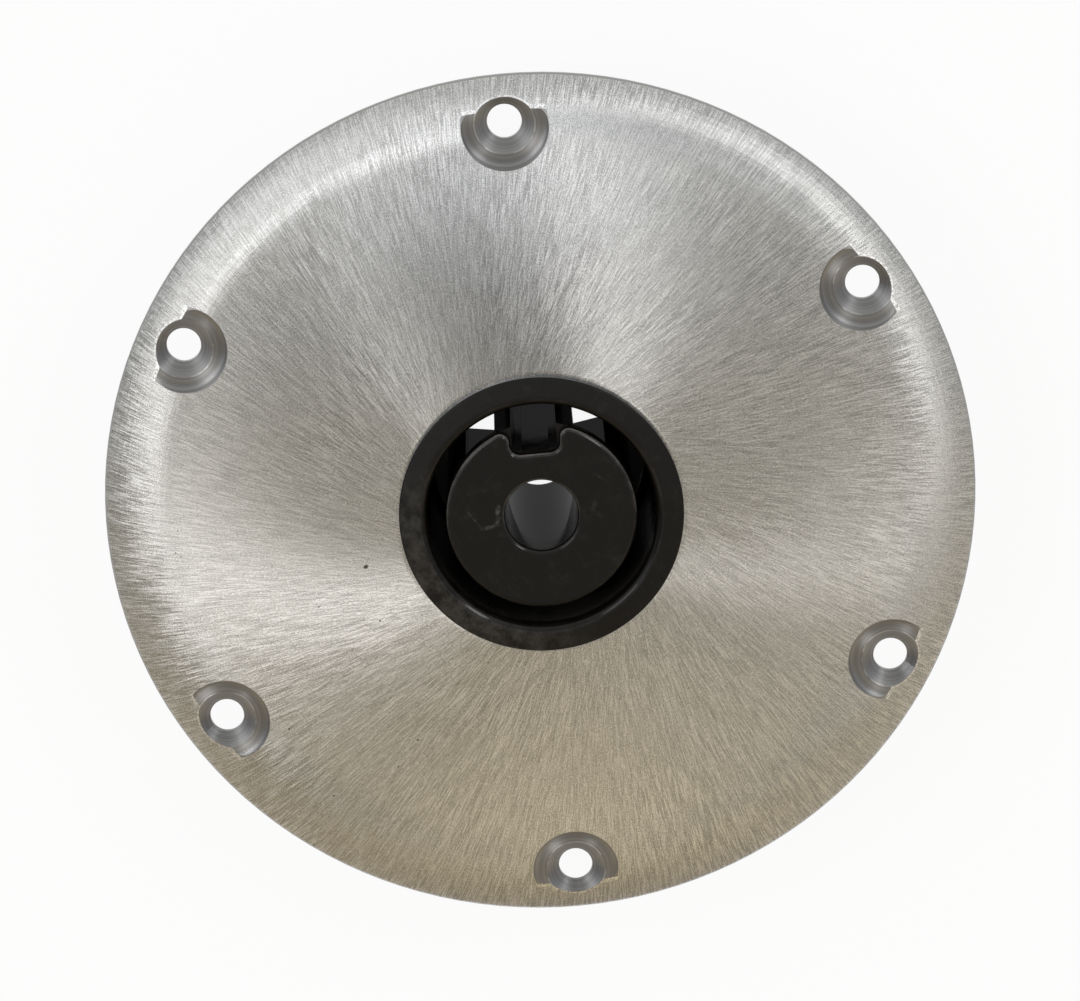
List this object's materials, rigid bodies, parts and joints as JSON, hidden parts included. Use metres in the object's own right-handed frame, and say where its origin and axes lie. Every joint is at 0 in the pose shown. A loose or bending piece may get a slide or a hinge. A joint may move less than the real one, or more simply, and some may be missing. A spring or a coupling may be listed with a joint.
{
  "type": "boat seat pedestal base",
  "caption": "Round domed aluminium floor base for a boat seat post, with countersunk deck screw holes and a black moulded bushing with key slot and pin bore.",
  "frame": {"origin": "on the plate's axis at the deck plane, the flat underside of the plate's outer ring", "axes": "+Z along the axis up out of the socket, +Y from the axis towards the key slot"},
  "size_m": [0.2286, 0.2286, 0.0627],
  "materials": {
    "brushed_aluminium": "satin, brushed in radial lines",
    "black_plastic": "satin moulded, lightly scuffed"
  },
  "bodies": {
    "root": {"base_plate": "brushed_aluminium", "bushing": "black_plastic"}
  },
  "joints": []
}
